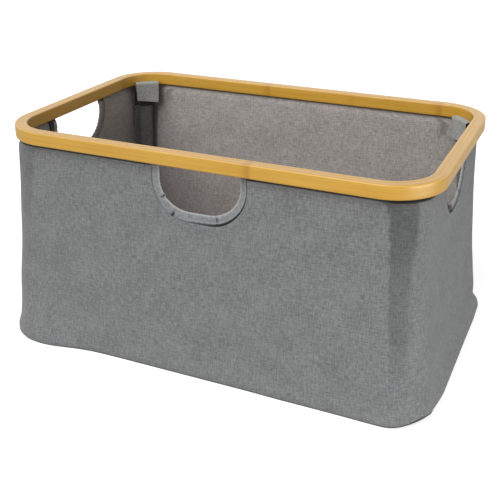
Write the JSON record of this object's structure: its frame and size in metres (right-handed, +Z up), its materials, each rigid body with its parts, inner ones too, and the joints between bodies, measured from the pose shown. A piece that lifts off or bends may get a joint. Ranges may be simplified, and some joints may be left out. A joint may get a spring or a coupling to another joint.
{
  "type": "collapsible laundry basket",
  "caption": "Open rectangular cloth laundry basket with a bent bamboo rim, hand holes, corner stays and a stiff base; folds flat.",
  "frame": {"origin": "middle of the underside, on the surface the basket stands on", "axes": "+X along the long side, -Y out of the front with the long side's hand hole, +Z up"},
  "size_m": [0.5824, 0.3724, 0.292],
  "materials": {
    "bamboo": "satin clear lacquer",
    "bamboo_core": "satin clear lacquer",
    "linen_look_cloth": "woven, heathered grey",
    "facing_cloth": "woven, heathered grey",
    "webbing": "woven tape",
    "steel_wire": "zinc plated",
    "seam_cloth": "bound seam",
    "hardboard": "smooth hardboard",
    "lining_cloth": "woven",
    "bamboo_slat": "planed",
    "cap_plastic": "moulded",
    "sleeve_cloth": "non-woven lining cloth",
    "tab_cloth": "woven tape",
    "hook_and_loop": "hook and loop tape"
  },
  "bodies": {
    "base": {"bottom_cloth": "linen_look_cloth", "front_wall": "linen_look_cloth", "back_wall": "linen_look_cloth", "left_end_wall": "linen_look_cloth", "right_end_wall": "linen_look_cloth", "front_hole_facing": "facing_cloth", "left_end_hole_facing": "facing_cloth", "right_end_hole_facing": "facing_cloth", "base_seam": "seam_cloth", "base_board": "hardboard", "board_cover": "lining_cloth"},
    "rim": {"rim_outer_ply": "bamboo", "rim_core_ply": "bamboo_core", "rim_inner_ply": "bamboo", "hem_band": "webbing", "hem_staples": "steel_wire"},
    "front_left_tab_body": {"front_left_tab": "tab_cloth", "front_left_loop_patch": "hook_and_loop"},
    "front_left_stay_body": {"front_left_stay": "bamboo_slat", "front_left_stay_caps": "cap_plastic", "front_left_sleeve": "sleeve_cloth", "front_left_hook_patch": "hook_and_loop"},
    "front_right_tab_body": {"front_right_tab": "tab_cloth", "front_right_loop_patch": "hook_and_loop"},
    "front_right_stay_body": {"front_right_stay": "bamboo_slat", "front_right_stay_caps": "cap_plastic", "front_right_sleeve": "sleeve_cloth", "front_right_hook_patch": "hook_and_loop"},
    "back_left_tab_body": {"back_left_tab": "tab_cloth", "back_left_loop_patch": "hook_and_loop"},
    "back_left_stay_body": {"back_left_stay": "bamboo_slat", "back_left_stay_caps": "cap_plastic", "back_left_sleeve": "sleeve_cloth", "back_left_hook_patch": "hook_and_loop"},
    "back_right_tab_body": {"back_right_tab": "tab_cloth", "back_right_loop_patch": "hook_and_loop"},
    "back_right_stay_body": {"back_right_stay": "bamboo_slat", "back_right_stay_caps": "cap_plastic", "back_right_sleeve": "sleeve_cloth", "back_right_hook_patch": "hook_and_loop"}
  },
  "joints": [
    {"name": "rim_fold", "type": "slide", "parent": "base", "child": "rim", "axis": [0, 0, -1], "range_m": [0, 0.222], "deforming": ["front_wall", "back_wall", "left_end_wall", "right_end_wall", "front_hole_facing", "left_end_hole_facing", "right_end_hole_facing"]},
    {"name": "front_left_stay_fold", "type": "hinge", "parent": "base", "child": "front_left_stay_body", "pos_m": [-0.26304, -0.15804, 0.00766], "axis": [-0.7071, 0.7071, 0], "range_deg": [0, 83]},
    {"name": "front_right_stay_fold", "type": "hinge", "parent": "base", "child": "front_right_stay_body", "pos_m": [0.26304, -0.15804, 0.00766], "axis": [-0.7071, -0.7071, 0], "range_deg": [0, 83]},
    {"name": "back_left_stay_fold", "type": "hinge", "parent": "base", "child": "back_left_stay_body", "pos_m": [-0.26304, 0.15804, 0.00766], "axis": [0.7071, 0.7071, 0], "range_deg": [0, 76]},
    {"name": "back_right_stay_fold", "type": "hinge", "parent": "base", "child": "back_right_stay_body", "pos_m": [0.26304, 0.15804, 0.00766], "axis": [0.7071, -0.7071, 0], "range_deg": [0, 76]},
    {"name": "front_left_tab_hinge", "type": "hinge", "parent": "rim", "child": "front_left_tab_body", "pos_m": [-0.25029, -0.14529, 0.292], "axis": [0.7071, -0.7071, 0], "range_deg": [0, 160], "deforming": ["front_left_tab", "front_left_loop_patch"]},
    {"name": "front_right_tab_hinge", "type": "hinge", "parent": "rim", "child": "front_right_tab_body", "pos_m": [0.25029, -0.14529, 0.292], "axis": [0.7071, 0.7071, 0], "range_deg": [0, 160], "deforming": ["front_right_tab", "front_right_loop_patch"]},
    {"name": "back_left_tab_hinge", "type": "hinge", "parent": "rim", "child": "back_left_tab_body", "pos_m": [-0.25029, 0.14529, 0.292], "axis": [-0.7071, -0.7071, 0], "range_deg": [0, 160], "deforming": ["back_left_tab", "back_left_loop_patch"]},
    {"name": "back_right_tab_hinge", "type": "hinge", "parent": "rim", "child": "back_right_tab_body", "pos_m": [0.25029, 0.14529, 0.292], "axis": [-0.7071, 0.7071, 0], "range_deg": [0, 160], "deforming": ["back_right_tab", "back_right_loop_patch"]}
  ],
  "couplings": [
    {"joint": "front_left_stay_fold", "follows": "rim_fold", "rad_per_m": 6.525},
    {"joint": "front_right_stay_fold", "follows": "rim_fold", "rad_per_m": 6.525},
    {"joint": "back_left_stay_fold", "follows": "rim_fold", "rad_per_m": 5.974},
    {"joint": "back_right_stay_fold", "follows": "rim_fold", "rad_per_m": 5.974}
  ]
}
